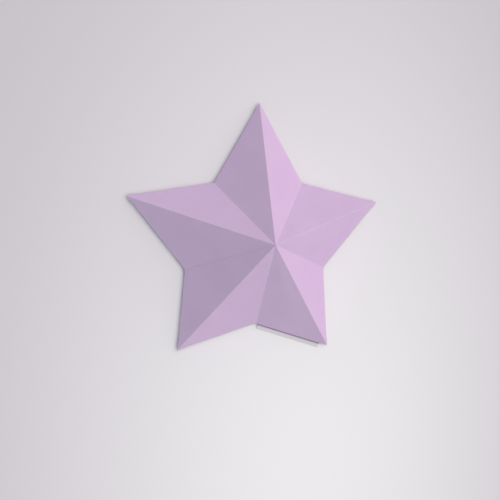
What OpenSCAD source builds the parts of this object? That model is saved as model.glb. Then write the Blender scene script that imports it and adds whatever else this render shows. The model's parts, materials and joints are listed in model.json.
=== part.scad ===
// Five-pointed card star, scored, folded and closed by a glued seam.
// It lies flat on its folded rim tabs, with its peak towards +Z and one tip towards +Y.
// The origin is on the surface that it stands on, under the middle of its outline.

/* [Star] */
// Distance from the middle to a tip, seen from above
tip_radius = 85; // [70:1:95]
// Distance from the middle to an inner corner, seen from above
corner_radius = 48.5; // [44:0.5:54]
// Height of the peak above the rim
peak_rise = 38; // [30:1:45]
// Thickness of the card
card = 0.3; // [0.2:0.05:0.4]
// How far the hand cutting strays from a regular star, where 0 is regular
hand_cut = 1; // [0:0.1:1]

/* [Rim tabs] */
// Width of a rim tab, from its crease to its free edge
tab_width = 4; // [3:0.5:5]
// Lean of a rim tab from upright, with its free edge inward
tab_lean = 58; // [45:1:65]
// Lean of the one tab that has sprung open, with its free edge outward
sprung_lean = 20; // [10:1:40]
// Bare rim beside a tip, where no tab is cut
tip_inset = 5; // [5:0.5:9]
// Bare rim beside an inner corner
corner_inset = 1; // [1:0.5:3]
// Slant of a tab's two ends from its crease
tab_slant = 60; // [45:1:65]

/* [Seam] */
// Width of the glued seam tab
seam_width = 9; // [7:0.5:10]
// Length of crease left bare between the peak and the seam tab
seam_start = 8; // [6:0.5:12]
// Length of crease left bare between the seam tab and the rim
seam_end = 4; // [4:0.5:8]
// Slant of the seam tab's two ends from its crease
seam_slant = 45; // [40:1:60]

/* [Hidden] */
ARMS = ["top", "right", "lower_right", "lower_left", "left"]; // clockwise, seen from above
SIDES = ["left", "right"]; // seen from the middle, looking out along the arm
SEAM_ARM = 4; // the seam tab is glued under this arm's left panel
SPRUNG_ARM = 2; // its right tab is the one that has sprung open
TIP_BEARING = 90; // of the first arm, measured from +X towards +Y
COUNT = len(ARMS);
LAST = COUNT - 1;
PITCH = 360 / COUNT; // from one arm to the next

// Stray of each tip and each inner corner: [outward in mm, anticlockwise in degrees]
TIP_STRAY = [[1, 0.5], [0.5, 0], [-0.5, -0.5], [-0.5, -0.5], [0.5, 0]];
CORNER_STRAY = [[-1.5, -1.5], [-0.5, -3], [4, 0], [1, 3], [-2.5, 3]];

crease_gap = 0.05; // clearance from each cut edge to the middle of its crease
seam_gap = 0.15; // the same at the seam, where the ring of creases is open
fold_clear = 143; // furthest that a rim crease is folded from flat, in degrees

panel_colour = [0.85, 0.73, 0.87];
tab_colour = [0.76, 0.65, 0.79];
seam_colour = [0.8, 0.7, 0.83];

// A plane is [unit normal, distance of the plane from the origin along it].
function unit(v) = v / norm(v);
function plane_at(normal, point) = [unit(normal), unit(normal) * point];
function shifted(plane, by) = [plane[0], plane[1] + by];
function facing(plane, point) = plane[0] * point > plane[1] ? plane : [-plane[0], -plane[1]];
function meet(a, b, c) =
    (a[1] * cross(b[0], c[0]) + b[1] * cross(c[0], a[0]) + c[1] * cross(a[0], b[0]))
    / (a[0] * cross(b[0], c[0]));

// The outline, seen from above
function plan(radius, bearing, stray) = let (a = bearing + hand_cut * stray[1])
    (radius + hand_cut * stray[0]) * [cos(a), sin(a)];
tips = [for (k = [0:LAST]) plan(tip_radius, TIP_BEARING - PITCH * k, TIP_STRAY[k])];
corners = [for (k = [0:LAST]) plan(corner_radius, TIP_BEARING - PITCH * (k + 0.5), CORNER_STRAY[k])];
middle = [for (axis = [0, 1]) let (at = [for (p = tips) p[axis]]) (min(at) + max(at)) / 2];

// The creases' ends, in space
rim_z = tab_width * cos(tab_lean);
function on_rim(p) = [p.x - middle.x, p.y - middle.y, rim_z];
peak = [-middle.x, -middle.y, rim_z + peak_rise];
function tip(arm) = on_rim(tips[arm]);
// Side 0 is an arm's left, which ends at the corner before it, and side 1 its right.
function corner_index(arm, side) = (arm + LAST + side) % COUNT;
function corner(arm, side) = on_rim(corners[corner_index(arm, side)]);
function valley_gap(arm, side) =
    corner_index(arm, side) == corner_index(SEAM_ARM, 0) ? seam_gap : crease_gap;

// The panels' outer planes, with their normals outward
function outer(arm, side) =
    plane_at((1 - 2 * side) * cross(tip(arm) - peak, corner(arm, side) - peak), peak);
function across_valley(arm, side) = outer((arm + LAST + 2 * side) % COUNT, 1 - side);

// The cut edge of a panel along a crease that it shares with its neighbour
function crease_edge(own, neighbour, inside, gap) =
    shifted(facing(plane_at(own[0] - neighbour[0], peak), inside), gap);

// The cut edge beside a rim crease, bevelled so that the crease can fold right under
function rim_edge(face, along, end) = let (inward = unit(cross(along, face[0])))
    shifted(plane_at(inward + tan(fold_clear / 2) * face[0], end), crease_gap);

// A flat piece of card under its outer plane, inside its edge planes, which are in order round it
module sheet(face, edges) {
    count = len(edges);
    back = shifted(face, -card);
    points = [
        for (side = [face, back], i = [0:count - 1]) meet(side, edges[i], edges[(i + 1) % count])
    ];
    turns = cross(points[1] - points[0], points[2] - points[1]) * face[0] > 0;
    ring = [for (i = [0:count - 1]) i];
    faces = concat(
        [[for (i = ring) count - 1 - i], [for (i = ring) count + i]],
        [for (i = ring) let (j = (i + 1) % count) [i, j, count + j, count + i]]
    );
    polyhedron(points, turns ? faces : [for (f = faces) [for (i = [len(f) - 1:-1:0]) f[i]]]);
}

module panel(arm, side) {
    face = outer(arm, side);
    from = tip(arm);
    to = corner(arm, side);
    color(panel_colour)
        sheet(face, [
            crease_edge(face, outer(arm, 1 - side), to, crease_gap),
            crease_edge(face, across_valley(arm, side), from, valley_gap(arm, side)),
            facing(rim_edge(face, (1 - 2 * side) * (from - to), to), peak),
        ]);
}

// A tab hangs from its panel's rim. Its ends slant in from the crease.
module rim_tab(arm, side) {
    sprung = arm == SPRUNG_ARM && side == 1;
    lean = sprung ? -sprung_lean : tab_lean;
    width = (rim_z - (sprung ? card * sin(sprung_lean) : 0)) / cos(lean);
    from = tip(arm);
    to = corner(arm, side);
    along = unit(to - from);
    outward = (1 - 2 * side) * cross(along, [0, 0, 1]);
    down = -sin(lean) * outward - [0, 0, cos(lean)];
    face = plane_at(cos(lean) * outward - [0, 0, sin(lean)], from);
    centre = (from + to) / 2 + down * width / 2;
    start = from + along * tip_inset;
    stop = to - along * corner_inset;
    color(tab_colour)
        sheet(face, [
            facing(rim_edge(face, (1 - 2 * side) * along, from), centre),
            facing(plane_at(along * tan(tab_slant) - down, start), centre),
            facing(plane_at(down, from + down * width), centre),
            facing(plane_at(along * tan(tab_slant) + down, stop), centre),
        ]);
}

// The end of the sheet, folded along the valley and glued under the first panel
module seam_tab() {
    panel_face = outer(SEAM_ARM, 0);
    face = shifted(panel_face, -card);
    crease_end = corner(SEAM_ARM, 0);
    along = unit(crease_end - peak);
    inward = unit(cross(along, face[0])); // across the host panel, away from the crease
    centre = peak + along * norm(crease_end - peak) / 2 + inward * seam_width / 2;
    start = peak + along * seam_start;
    stop = crease_end - along * seam_end;
    color(seam_colour)
        sheet(face, [
            crease_edge(panel_face, across_valley(SEAM_ARM, 0), centre, seam_gap),
            facing(plane_at(along * tan(seam_slant) - inward, start), centre),
            facing(plane_at(inward, start + inward * seam_width), centre),
            facing(plane_at(along * tan(seam_slant) + inward, stop), centre),
        ]);
}

for (arm = [0:LAST], side = [0, 1]) {
    name = str(ARMS[arm], "_arm_", SIDES[side]);
    panel(arm, side);
    rim_tab(arm, side);
}
seam_tab();
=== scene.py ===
"""The looks of the folded card star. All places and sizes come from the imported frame, in metres."""

import json
import math
import random

import bpy
import numpy as np
from mathutils import Matrix


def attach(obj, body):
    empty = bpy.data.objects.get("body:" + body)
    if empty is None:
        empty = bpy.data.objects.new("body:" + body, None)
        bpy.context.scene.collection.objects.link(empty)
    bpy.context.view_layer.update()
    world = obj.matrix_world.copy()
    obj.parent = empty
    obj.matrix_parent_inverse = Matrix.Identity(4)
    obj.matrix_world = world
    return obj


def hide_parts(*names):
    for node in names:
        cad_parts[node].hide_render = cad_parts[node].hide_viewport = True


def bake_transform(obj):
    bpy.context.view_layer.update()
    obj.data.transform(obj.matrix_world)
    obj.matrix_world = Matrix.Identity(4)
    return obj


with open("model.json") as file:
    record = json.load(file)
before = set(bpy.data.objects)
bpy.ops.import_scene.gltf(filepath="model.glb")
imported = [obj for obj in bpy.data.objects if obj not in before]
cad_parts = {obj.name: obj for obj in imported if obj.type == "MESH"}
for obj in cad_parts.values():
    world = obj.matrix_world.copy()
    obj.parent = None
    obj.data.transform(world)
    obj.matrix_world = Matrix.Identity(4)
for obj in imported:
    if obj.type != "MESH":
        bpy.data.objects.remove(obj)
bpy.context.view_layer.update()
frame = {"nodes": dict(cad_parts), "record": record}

MM = 0.001
CARD = 0.3 * MM             # thickness of the card
CREASE_HALF = 0.9 * MM      # half the width of the strip that bends at a crease between panels
RIM_HALF = 1.0 * MM         # the same at a rim crease, which folds further
RIDGE_RADIUS = 0.35 * MM    # outer radius of a ridge
VALLEY_RADIUS = 0.25 * MM   # radius in the bottom of a valley
RIM_RADIUS = 0.42 * MM      # outer radius of a rim crease
TAPER = 0.09                # share of a crease, from the peak, over which its strip narrows to nothing
THIN = TAPER / 3            # share over which the card thins out to the peak
PEAK_START = 0.003          # share of a crease at which the pieces start, so that none shares the peak's point
SEAM_TRIM = 0.2 * MM        # how far the glued panel's cut edge stops short of the seam's crease
SEAM_CLEAR = 0.02 * MM      # its clearance from the panel that fills the gap
GLUE_GAP = 0.01 * MM        # between the seam tab and the panel over it
CURL_START = 1.5 * MM       # the sprung tab runs down this far and curls out, by an angle in degrees
CURL_RADIUS = 0.3 * MM
CURL_TURN = 66
CURL_END = CURL_START + CURL_RADIUS * math.radians(CURL_TURN)
CURL_RUN = 2.7 * MM         # and ends in a straight run along the surface
PAINTED_SHADE_FADE = 0.6 * MM       # over which the painted shade under the rim fades out
BOW = 0.28 * MM             # the most that a panel bows out at its middle
BOW_RANGE = -0.6, 1.0       # a panel's bow as a share of that, from in to out
BOW_SEED = 5
WEAR_REACH = 2.2            # how far a worn crease reaches, in widths of its rounding
SHARP_ANGLE = 35            # degrees between faces from which an edge is shaded sharp

TAB_STEPS = 18              # cells along a rim tab, its crease and the rim over it
TIP_STEPS = 3               # cells of a panel between its ridge and its tab
PANEL_STEPS = 24            # cells down a panel
CREASE_STEPS = 26           # cells down a ridge or a valley
DOWN_STEPS = 4              # cells down a flat tab
CURL_STEPS = 8              # cells round the sprung tab's curl
SEAM_STEPS = 6, 16          # cells across the seam tab and along it
ARC = [1.0, 0.75, 0.5, 0.25, 0.0]   # places on one side of a fold's rounding, out to its middle

ARMS = ["top", "right", "lower_right", "lower_left", "left"]
COUNT = len(ARMS)
SIDES = ["left", "right"]
SEAM = (4, 0), (3, 1)       # the glued panel, and the one that the seam tab is folded from

record = frame["record"]
joints = {j["name"]: j for j in record["behaviour"]["joints"]}


# ---- Reading the star's planes and corners from the frame ----

def unit(v):
    v = np.asarray(v, float)
    return v / np.linalg.norm(v)


def vertices(node):
    return np.array([v.co[:] for v in frame["nodes"][node].data.vertices])


def widest_face(node, toward):
    """The unit normal and the centre of the node's largest face that looks toward a direction."""
    faces = [p for p in frame["nodes"][node].data.polygons if np.dot(p.normal, toward) > 0]
    face = max(faces, key=lambda p: p.area)
    return unit(face.normal), np.array(face.center)


def meet(*planes):
    """The point where three planes meet. A plane is a unit normal and a point on it."""
    normals = np.array([n for n, _ in planes])
    return np.linalg.solve(normals, [np.dot(n, p) for n, p in planes])


def node_name(arm, side, piece):
    return f"{ARMS[arm]}_arm_{SIDES[side]}_{piece}"


UP = np.array([0.0, 0.0, 1.0])
faces = {(a, s): widest_face(node_name(a, s, "panel"), UP) for a in range(COUNT) for s in range(2)}
peak = meet(faces[0, 0], faces[1, 1], faces[3, 0])
rim_z = joints[node_name(0, 0, "tab_fold")]["pos_m"][2]
rim_plane = (UP, np.array([0.0, 0.0, rim_z]))
tips = [meet(faces[a, 0], faces[a, 1], rim_plane) for a in range(COUNT)]
corners = [meet(faces[a, 1], faces[(a + 1) % COUNT, 0], rim_plane) for a in range(COUNT)]


def corner_of(arm, side):
    """The inner corner at a panel's end of the rim. Corner a lies after arm a."""
    return corners[(arm - 1 + side) % COUNT]


class Panel:
    """One flat facet. s runs from 0 at the peak to 1 at the rim, along rows parallel to the rim.
    Across a row, a place is a distance from the ridge, or u from 0 at the ridge's strip to 1 at the valley's."""

    def __init__(self, arm, side):
        self.arm, self.side = arm, side
        self.key = (arm, side)
        self.name = node_name(arm, side, "panel")
        self.normal = faces[arm, side][0]
        self.tip, self.corner = tips[arm], corner_of(arm, side)
        self.row = unit(self.corner - self.tip)
        self.width = np.linalg.norm(self.corner - self.tip)
        self.ridge, self.valley = unit(self.tip - peak), unit(self.corner - peak)
        self.sin_tip = np.linalg.norm(np.cross(self.ridge, self.row))
        self.sin_corner = np.linalg.norm(np.cross(self.valley, self.row))
        foot = peak - self.tip
        self.height = np.linalg.norm(foot - np.dot(foot, self.row) * self.row)
        self.valley_half = CREASE_HALF
        if self.key == SEAM[0]:
            self.valley_half = SEAM_TRIM
        if self.key == SEAM[1]:
            self.valley_half = SEAM_CLEAR - SEAM_TRIM
        self.bow = 0.0

    def ends(self, s):
        """How far along the row the panel's own plate starts and stops."""
        narrow = min(1.0, s / TAPER)
        start = CREASE_HALF * narrow / self.sin_tip
        stop = s * self.width - self.valley_half * narrow / self.sin_corner
        return start, stop

    def at(self, s, u):
        """A point on the outer face of the plate."""
        start, stop = self.ends(s)
        along = start + u * (stop - start)
        flat = peak + s * (self.tip - peak) + along * self.row
        inner = min(1.0, s / self.last_row())
        hump = math.sin(math.pi * inner) ** 2 * math.sin(math.pi * min(1.0, max(0.0, u))) ** 2
        return flat + self.bow * hump * self.normal

    def last_row(self):
        """The row where the rim crease's strip begins."""
        return 1.0 - RIM_HALF / self.height

    def u_at_rim(self, distance):
        """u on the rim at a distance from the tip."""
        start, stop = self.ends(1.0)
        return (distance - start) / (stop - start)


panels = {key: Panel(*key) for key in faces}
shape = random.Random(BOW_SEED)
for panel in panels.values():
    panel.bow = BOW * shape.uniform(*BOW_RANGE)


class Tab:
    """One rim tab. v runs down it from the rim crease, and t from 0 at its tip end to 1 at its corner end."""

    def __init__(self, panel):
        self.panel = panel
        self.name = node_name(panel.arm, panel.side, "tab")
        points = vertices(self.name)
        outward = (points.mean(axis=0) - peak) * (1, 1, 0)
        self.normal, centre = widest_face(self.name, outward)
        self.sprung = self.normal[2] > 0
        self.down = unit(np.cross(panel.row, self.normal))
        if self.down[2] > 0:
            self.down = -self.down
        depth = (points - centre) @ self.normal
        outer = points[depth > -CARD / 2]
        v = (outer - panel.tip) @ self.down
        x = (outer - panel.tip) @ panel.row
        self.width = v.max()
        low, high = v > v.max() / 2, v < v.max() / 2
        slope = x[low].min() - x[high].min(), x[low].max() - x[high].max()
        run = v[low].mean() - v[high].mean()
        self.slant = [s / run for s in slope]
        self.start = x[high].min() - self.slant[0] * v[high].mean()
        self.stop = x[high].max() - self.slant[1] * v[high].mean()

    def rows(self):
        """Distances down the tab, past its crease's strip."""
        if not self.sprung:
            return steps_between(RIM_HALF, self.width, DOWN_STEPS)
        curl = steps_between(CURL_START, CURL_END, CURL_STEPS)
        return [RIM_HALF] + curl + [CURL_END + PAINTED_SHADE_FADE, CURL_END + CURL_RUN]

    def facing(self, v):
        """The outer normal, which turns up where the sprung tab curls."""
        turn = self.turn_at(v)
        return math.cos(turn) * self.normal - math.sin(turn) * self.down

    def turn_at(self, v):
        """How far the tab has turned at a distance down it."""
        if not self.sprung:
            return 0.0
        return min(math.radians(CURL_TURN), max(0.0, v - CURL_START) / CURL_RADIUS)

    def painted_shade_and_pale_at(self, v):
        """The sprung tab has painted shade on its steep part, close under the rim, and a paler colour on its run.
        """
        if not self.sprung:
            return 0.0
        return 1.0 if v > CURL_END + PAINTED_SHADE_FADE / 2 else -1.0

    def curled(self, v):
        """The way from the crease to a distance down the tab."""
        turn = self.turn_at(v)
        if not turn:
            return v * self.down
        run = v - CURL_START - CURL_RADIUS * turn
        along = CURL_START + CURL_RADIUS * math.sin(turn) + run * math.cos(turn)
        out = CURL_RADIUS * (1 - math.cos(turn)) + run * math.sin(turn)
        return along * self.down + out * self.normal

    def at(self, v, t):
        """A point on the outer face."""
        slanted = min(v, RIM_HALF) if self.sprung else v
        x = (1 - t) * (self.start + self.slant[0] * slanted) + t * (self.stop + self.slant[1] * slanted)
        return self.panel.tip + x * self.panel.row + self.curled(v)


tabs = {key: Tab(panel) for key, panel in panels.items()}


# ---- Card: a grid of outer points, thickened along its normals ----

def card_mesh(name, points, normals, wear=None, painted_shade_and_pale=None, skip=()):
    """A closed sheet of card from a grid of outer points and normals. A cell in skip is left out.
    wear is by point, where a crease has broken the surface. The painted shade list is by row: 1 is a paler colour
    and -1 is painted shade."""
    rows, columns = len(points), len(points[0])
    places, index, wears, painted_shades_and_pales = [], {}, [], []

    def corner(i, j, layer):
        p = points[i][j] - layer * CARD * normals[i][j]
        key = i, j, layer
        if key not in index:
            index[key] = len(places)
            places.append(p)
            wears.append(wear[i][j] if wear else 0.0)
            painted_shades_and_pales.append(painted_shade_and_pale[i] if painted_shade_and_pale else 0.0)
        return index[key]

    cells = {(i, j) for i in range(rows - 1) for j in range(columns - 1)} - set(skip)
    polygons, cut = [], []

    def add(ring, is_cut):
        polygons.append(ring)
        cut.append(is_cut)

    steps = [(0, 0), (0, 1), (1, 1), (1, 0)]
    sides = [((-1, 0), 0), ((0, 1), 1), ((1, 0), 2), ((0, -1), 3)]
    for i, j in sorted(cells):
        ring = [(i + a, j + b) for a, b in steps]
        add([corner(*c, 0) for c in ring], False)
        add([corner(*c, 1) for c in reversed(ring)], False)
        for (di, dj), k in sides:
            if (i + di, j + dj) not in cells:
                a, b = ring[k], ring[(k + 1) % 4]
                add([corner(*b, 0), corner(*a, 0), corner(*a, 1), corner(*b, 1)], True)
    mesh = bpy.data.meshes.new(name)
    mesh.from_pydata([tuple(p) for p in places], [], polygons)
    mesh.validate()
    i, j = min(cells)
    if np.dot(mesh.polygons[0].normal, normals[i + 1][j + 1]) < 0:
        mesh.flip_normals()
    for attribute, domain, values in (("wear", "POINT", wears), ("painted_shade_and_pale", "POINT", painted_shades_and_pales), ("cut", "FACE", cut)):
        mesh.attributes.new(attribute, "FLOAT", domain).data.foreach_set("value", [float(v) for v in values])
    mesh.polygons.foreach_set("use_smooth", [True] * len(mesh.polygons))
    mesh.set_sharp_from_angle(angle=math.radians(SHARP_ANGLE))
    piece = bpy.data.objects.new(name, mesh)
    bpy.context.collection.objects.link(piece)
    return piece


def steps_between(a, b, count):
    return [a + (b - a) * k / count for k in range(count + 1)]


def peak_rows():
    """The first rows, where the creases' strips widen out from the peak."""
    return [PEAK_START, THIN, 2 * THIN]


def thinned(s):
    """Ten pieces of card cannot all be full thickness at one point, so they thin out to the peak."""
    return min(1.0, s / THIN)


def make_panel(panel):
    tab = tabs[panel.key]
    first, last = panel.u_at_rim(tab.start), panel.u_at_rim(tab.stop)
    across = steps_between(0.0, first, TIP_STEPS) + steps_between(first, last, TAB_STEPS)[1:] + [1.0]
    down = peak_rows() + steps_between(TAPER, panel.last_row(), PANEL_STEPS) + [1.0]
    grid = [[panel.at(s, u) for u in across] for s in down]
    normals = [[panel.normal * thinned(s)] * len(across) for s in down]
    slot = [(len(down) - 2, TIP_STEPS + k) for k in range(TAB_STEPS)]
    return card_mesh(panel.name + "_card", grid, normals, skip=slot)


def make_tab(tab):
    along, rows = steps_between(0.0, 1.0, TAB_STEPS), tab.rows()
    grid = [[tab.at(v, t) for t in along] for v in rows]
    normals = [[tab.facing(v)] * len(along) for v in rows]
    return card_mesh(tab.name + "_card", grid, normals, painted_shade_and_pale=[tab.painted_shade_and_pale_at(v) for v in rows])


# ---- Creases: strips that bend between two pieces of card ----

def fold_columns(half, normal_a, normal_b, radius):
    """Signed distances from a crease, from side a to side b, with the fold's arc well divided."""
    turn = math.acos(np.clip(np.dot(normal_a, normal_b), -1, 1)) / 2
    reach = radius * math.tan(turn)
    one_side = [half, (half + reach) / 2] + [reach * k for k in ARC]
    return [-x for x in one_side] + one_side[-2::-1], turn, reach


def folded(point, x, turn, normal_a, normal_b, radius, ridge):
    """Moves a point that lies x from a sharp crease onto the fold's arc. Returns it and its normal."""
    if abs(x) >= radius * math.tan(turn):
        return point, (normal_a if x < 0 else normal_b)
    bisector = unit(normal_a + normal_b)
    sideways = abs(x) * math.cos(turn)
    drop = radius / math.cos(turn) - math.sqrt(radius ** 2 - sideways ** 2) - sideways * math.tan(turn)
    tilt = math.copysign(math.asin(min(1.0, sideways / radius)), x)
    towards_a, towards_b = math.sin(turn - tilt), math.sin(turn + tilt)
    normal = unit(towards_a * normal_a + towards_b * normal_b)
    return point + (-drop if ridge else drop) * bisector, normal


def wear_at(x, reach):
    """How worn the card is at a distance from a crease whose rounding reaches so far."""
    return max(0.0, 1.0 - abs(x) / (WEAR_REACH * reach))


def make_crease(name, a, b, ridge):
    """The strip between panels a and b, which share a ridge or a valley."""
    radius = RIDGE_RADIUS if ridge else VALLEY_RADIUS
    columns, turn, reach = fold_columns(CREASE_HALF, a.normal, b.normal, radius)
    grid, normals, wear = [], [], []
    for s in peak_rows() + steps_between(TAPER, 1.0, CREASE_STEPS):
        narrow = min(1.0, s / TAPER)
        points, looks, worn = [], [], []
        for x in columns:
            panel = a if x < 0 else b
            distance = abs(x) * narrow
            if ridge:
                along = distance / panel.sin_tip
                flat = peak + s * (panel.tip - peak) + along * panel.row
            else:
                along = distance / panel.sin_corner
                flat = peak + s * (panel.corner - peak) - along * panel.row
            p, n = folded(flat, x * narrow, turn, a.normal, b.normal, radius * narrow, ridge)
            points.append(p)
            looks.append(n * thinned(s))
            worn.append(wear_at(x, reach))
        grid.append(points)
        normals.append(looks)
        wear.append(worn)
    piece = card_mesh(name, grid, normals, wear)
    crease = a.ridge if ridge else a.valley
    for panel in (a, b):
        inward = panel.row if ridge else -panel.row
        inward = unit(inward - np.dot(inward, crease) * crease)
    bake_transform(piece)
    return piece


def make_rim_crease(tab):
    """The strip between a panel and its rim tab."""
    panel = tab.panel
    first, last = panel.u_at_rim(tab.start), panel.u_at_rim(tab.stop)
    columns, turn, reach = fold_columns(RIM_HALF, panel.normal, tab.normal, RIM_RADIUS)
    grid, normals, wear, painted_shade_and_pale = [], [], [], []
    for x in columns:
        points, looks = [], []
        for t in steps_between(0.0, 1.0, TAB_STEPS):
            if x < 0:
                s = 1.0 + x / panel.height
                start, stop = panel.ends(s)
                u = first + t * (last - first)
                flat = peak + s * (panel.tip - peak) + (start + u * (stop - start)) * panel.row
            else:
                flat = tab.at(x, t)
            p, n = folded(flat, x, turn, panel.normal, tab.normal, RIM_RADIUS, True)
            points.append(p)
            looks.append(n)
        grid.append(points)
        normals.append(looks)
        wear.append([wear_at(x, reach)] * len(points))
        # Past the rounding, the sprung tab's side of this strip carries the same painted shade as its steep part.
        painted_shade_and_pale.append(tab.painted_shade_and_pale_at(x) if x >= reach else 0.0)
    piece = card_mesh(tab.name + "_crease", grid, normals, wear, painted_shade_and_pale)
    up_panel = unit(np.cross(panel.row, panel.normal))
    if up_panel[2] < 0:
        up_panel = -up_panel
    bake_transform(piece)
    return piece


def make_seam_tab():
    """The folded end of the sheet, glued under the seam's panel, beyond the crease."""
    points = vertices("seam_tab")
    normal, _ = widest_face("seam_tab", UP)
    host = panels[SEAM[0]]
    crease = host.valley
    inward = -unit(host.row - np.dot(host.row, crease) * crease)
    top = points[(points - points.mean(axis=0)) @ normal > 0]
    along, across = (top - peak) @ crease, (top - peak) @ inward
    near, far = across < across.mean(), across > across.mean()
    width = across.max()
    ends = [(along[near].min(), along[far].min()), (along[near].max(), along[far].max())]
    level = peak - (CARD + GLUE_GAP) * normal
    first = CARD / np.linalg.norm(np.cross(faces[SEAM[0]][0], faces[SEAM[1]][0]))
    grid = []
    for k in steps_between(0.0, 1.0, SEAM_STEPS[0]):
        start, stop = [a + k * (b - a) for a, b in ends]
        grid.append([
            level + crease * y + inward * (first + k * (width - first))
            for y in steps_between(start, stop, SEAM_STEPS[1])
        ])
    normals = [[normal] * len(row) for row in grid]
    return card_mesh("seam_tab_card", grid, normals)


# ---- Materials ----

MIX_SOCKETS = 0, 6, 7       # the factor and the two colours of a colour mix
MIX_RESULT = 2

CARD_LIGHT = (0.593, 0.428, 0.639, 1)
CARD_DEEP = (0.576, 0.411, 0.626, 1)
CARD_FIBRE = (0.648, 0.500, 0.685, 1)
CARD_CORE = (0.741, 0.648, 0.769, 1)    # inside the card, where it shows at a worn crease or a cut
CARD_PALE = (0.62, 0.58, 0.63, 1)       # the sprung tab's run
PAINTED_SHADE_COLOUR = (0.35, 0.285, 0.37, 1)     # painted shade on the sprung tab's steep part, close under the rim
CARD_ROUGHNESS = 0.82
CARD_SPECULAR = 0.28
FIBRE_SHARE = 0.16          # how strongly each colour shows
WEAR_SHARE = 0.15
CUT_SHARE = 0.35
GRAIN_STRENGTH = 0.35
GRAIN_DEPTH = 0.03 * MM
GRAIN_FIBRES = 0.8          # height of the fibres against the fine grain


class Graph:
    """Adds nodes to one node tree. What feeds a socket is another socket, to link, or a value, to set."""

    def __init__(self, owner):
        owner.use_nodes = True
        self.nodes, self.links = owner.node_tree.nodes, owner.node_tree.links

    def feed(self, socket, source):
        if hasattr(source, "default_value"):
            self.links.new(source, socket)
        else:
            socket.default_value = source

    def coordinate(self, kind):
        return self.nodes.new("ShaderNodeTexCoord").outputs[kind]

    def mix(self, factor, a, b):
        node = self.nodes.new("ShaderNodeMix")
        node.data_type = "RGBA"
        for socket, source in zip(MIX_SOCKETS, (factor, a, b)):
            self.feed(node.inputs[socket], source)
        return node.outputs[MIX_RESULT]

    def calc(self, operation, a, b):
        node = self.nodes.new("ShaderNodeMath")
        node.operation = operation
        for socket, source in zip(node.inputs, (a, b)):
            self.feed(socket, source)
        return node.outputs[0]

    def vector(self, operation, *sources, result="Vector"):
        node = self.nodes.new("ShaderNodeVectorMath")
        node.operation = operation
        for socket, source in zip(node.inputs, sources):
            self.feed(socket, source)
        return node.outputs[result]

    def spread(self, value, low, high, interpolation="LINEAR"):
        """Stretches low to high over 0 to 1."""
        node = self.nodes.new("ShaderNodeMapRange")
        node.interpolation_type = interpolation
        node.inputs["From Min"].default_value = low
        node.inputs["From Max"].default_value = high
        self.feed(node.inputs["Value"], value)
        return node.outputs["Result"]

    def noise(self, scale, detail, stretch=(1, 1, 1)):
        mapping = self.nodes.new("ShaderNodeMapping")
        mapping.inputs["Scale"].default_value = stretch
        texture = self.nodes.new("ShaderNodeTexNoise")
        texture.inputs["Scale"].default_value = scale
        texture.inputs["Detail"].default_value = detail
        self.feed(mapping.inputs["Vector"], self.coordinate("Object"))
        self.feed(texture.inputs["Vector"], mapping.outputs["Vector"])
        return texture.outputs["Fac"]

    def attribute(self, name):
        node = self.nodes.new("ShaderNodeAttribute")
        node.attribute_name = name
        return node.outputs["Fac"]


def card_material():
    """Smooth lilac card: faint mottling and fibres, paler where a crease or a cut shows the core. The sprung tab
    is paler on its run and has painted shade on its steep part.
    """
    material = bpy.data.materials.new("lilac_card")
    graph = Graph(material)
    shader = graph.nodes["Principled BSDF"]
    shader.inputs["Roughness"].default_value = CARD_ROUGHNESS
    shader.inputs["Specular IOR Level"].default_value = CARD_SPECULAR
    mottle = graph.spread(graph.noise(55, 3), 0.35, 0.65)
    fibre = graph.spread(graph.noise(900, 4, (1, 3.5, 2)), 0.35, 0.68)
    broken = graph.calc("MULTIPLY", graph.attribute("wear"), graph.spread(graph.noise(700, 2), 0.2, 0.6))
    base = graph.mix(mottle, CARD_LIGHT, CARD_DEEP)
    base = graph.mix(graph.calc("MULTIPLY", fibre, FIBRE_SHARE), base, CARD_FIBRE)
    base = graph.mix(graph.calc("MULTIPLY", broken, WEAR_SHARE), base, CARD_CORE)
    base = graph.mix(graph.calc("MULTIPLY", graph.attribute("cut"), CUT_SHARE), base, CARD_CORE)
    base = graph.mix(graph.attribute("painted_shade_and_pale"), base, CARD_PALE)
    # Painted shade on the sprung tab's steep part, where the row list is -1.
    base = graph.mix(graph.calc("MULTIPLY", graph.attribute("painted_shade_and_pale"), -1.0), base, PAINTED_SHADE_COLOUR)
    graph.feed(shader.inputs["Base Color"], base)
    fibres = graph.calc("MULTIPLY", graph.noise(700, 2, (1, 4, 2)), GRAIN_FIBRES)
    bump = graph.nodes.new("ShaderNodeBump")
    bump.inputs["Strength"].default_value = GRAIN_STRENGTH
    bump.inputs["Distance"].default_value = GRAIN_DEPTH
    graph.feed(bump.inputs["Height"], graph.calc("ADD", graph.noise(2600, 3), fibres))
    graph.feed(shader.inputs["Normal"], bump.outputs["Normal"])
    return material


card = card_material()


# ---- The star ----

def finish_piece(piece):
    piece.data.materials.append(card)


for key, panel in panels.items():
    plate = make_panel(panel)
    finish_piece(plate)
    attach(plate, panel.name)
    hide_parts(panel.name)
    tab = tabs[key]
    flap = make_tab(tab)
    finish_piece(flap)
    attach(flap, tab.name)
    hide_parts(tab.name)
    finish_piece(make_rim_crease(tab))

for arm in range(COUNT):
    left, right = panels[arm, 0], panels[arm, 1]
    finish_piece(make_crease(f"{ARMS[arm]}_ridge_crease", left, right, True))
    after = panels[(arm + 1) % COUNT, 0]
    if {right.key, after.key} != set(SEAM):
        name = f"{ARMS[arm]}_{ARMS[after.arm]}_valley_crease"
        finish_piece(make_crease(name, right, after, False))

seam = make_seam_tab()
finish_piece(seam)
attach(seam, panels[SEAM[0]].name)
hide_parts("seam_tab")


# ---- Stage: pale surface, light and camera ----

FLOOR_SIZE = 3.0
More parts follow.
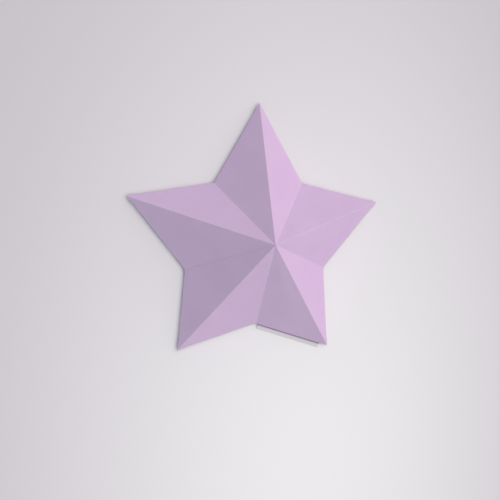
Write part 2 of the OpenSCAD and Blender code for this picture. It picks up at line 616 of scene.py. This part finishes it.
# The surface's colour holds a painted pool of light: bright near the star, dim further away.
FLOOR_PAINTED_BRIGHT = (0.807, 0.779, 0.812, 1)
FLOOR_PAINTED_DIM = (0.547, 0.500, 0.552, 1)
FLOOR_ROUGHNESS = 0.9
FLOOR_SPECULAR = 0.15
PAINTED_LIGHT_CENTRE = (0.040, -0.157, 0)    # painted light: the surface's colour is brightest here
PAINTED_LIGHT_REACH = 0.286                  # and dimmest this far to the side
PAINTED_LIGHT_SQUASH = (1, 0.57, 1)

WINDOW = 20, 60                     # bearing and elevation of the brightest part of the sky, in degrees
WINDOW_EDGE = 0.3                   # cosine from there at which it has faded out
WALLS = (0.500, 0.500, 0.500, 1)
WALL_TOP = 0.15, 0.5                # the sine of the elevation where the walls begin to give way, and end
SKY_DIM = (0.059, 0.253, 0.211, 1)
SKY_BRIGHT = (2.063, 1.922, 1.931, 1)

CAMERA_AIM = -5.03 * MM, -5.63 * MM     # from the peak, on the rim's level
CAMERA_BEARING = 164.01
CAMERA_TILT = 15.17                     # degrees from straight down
CAMERA_DISTANCE = 0.346
CAMERA_ROLL = 1.14
LENS = 39.6
SENSOR = 36.0


def make_floor():
    half = FLOOR_SIZE / 2
    mesh = bpy.data.meshes.new("floor")
    mesh.from_pydata([(-half, -half, 0), (half, -half, 0), (half, half, 0), (-half, half, 0)], [], [(0, 1, 2, 3)])
    floor = bpy.data.objects.new("floor", mesh)
    bpy.context.collection.objects.link(floor)
    material = bpy.data.materials.new("pale_surface_painted_light")
    graph = Graph(material)
    # Painted light: the colour fades from the bright pool out to the dim colour.
    offset = graph.vector("SUBTRACT", graph.coordinate("Object"), PAINTED_LIGHT_CENTRE)
    squashed = graph.vector("MULTIPLY", offset, PAINTED_LIGHT_SQUASH)
    away = graph.vector("LENGTH", squashed, result="Value")
    painted_light_fade = graph.spread(away, 0.0, PAINTED_LIGHT_REACH, "SMOOTHSTEP")
    shader = graph.nodes["Principled BSDF"]
    graph.feed(shader.inputs["Base Color"], graph.mix(painted_light_fade, FLOOR_PAINTED_BRIGHT, FLOOR_PAINTED_DIM))
    shader.inputs["Roughness"].default_value = FLOOR_ROUGHNESS
    shader.inputs["Specular IOR Level"].default_value = FLOOR_SPECULAR
    mesh.materials.append(material)


def direction(bearing, elevation):
    b, e = math.radians(bearing), math.radians(elevation)
    return np.array([math.cos(b) * math.cos(e), math.sin(b) * math.cos(e), math.sin(e)])


def make_sky():
    """Soft room light: pale walls, and over them a dim ceiling that is bright on the window's side."""
    world = bpy.data.worlds.new("soft_room")
    graph = Graph(world)
    toward = graph.coordinate("Generated")
    near = graph.vector("DOT_PRODUCT", toward, tuple(direction(*WINDOW)), result="Value")
    ceiling = graph.mix(graph.spread(near, WINDOW_EDGE, 1.0, "SMOOTHSTEP"), SKY_DIM, SKY_BRIGHT)
    height = graph.nodes.new("ShaderNodeSeparateXYZ")
    graph.feed(height.inputs[0], toward)
    rise = graph.spread(height.outputs["Z"], *WALL_TOP, "SMOOTHSTEP")
    graph.feed(graph.nodes["Background"].inputs["Color"], graph.mix(rise, WALLS, ceiling))
    bpy.context.scene.world = world


def make_camera():
    data = bpy.data.cameras.new("camera")
    data.sensor_width = SENSOR
    data.lens = LENS
    camera = bpy.data.objects.new("camera", data)
    bpy.context.collection.objects.link(camera)
    back = direction(CAMERA_BEARING, 90 - CAMERA_TILT)
    place = np.array([peak[0] + CAMERA_AIM[0], peak[1] + CAMERA_AIM[1], rim_z]) + CAMERA_DISTANCE * back
    level = unit(np.array([0, 1, 0]) - back[1] * back)
    right = np.cross(level, back)
    c, s = math.cos(math.radians(CAMERA_ROLL)), math.sin(math.radians(CAMERA_ROLL))
    x, y = c * right + s * level, c * level - s * right
    camera.matrix_world = Matrix([[x[k], y[k], back[k], place[k]] for k in range(3)] + [[0, 0, 0, 1]])
    bpy.context.scene.camera = camera


make_floor()
make_sky()
make_camera()
bpy.context.scene.view_settings.view_transform = "Standard"
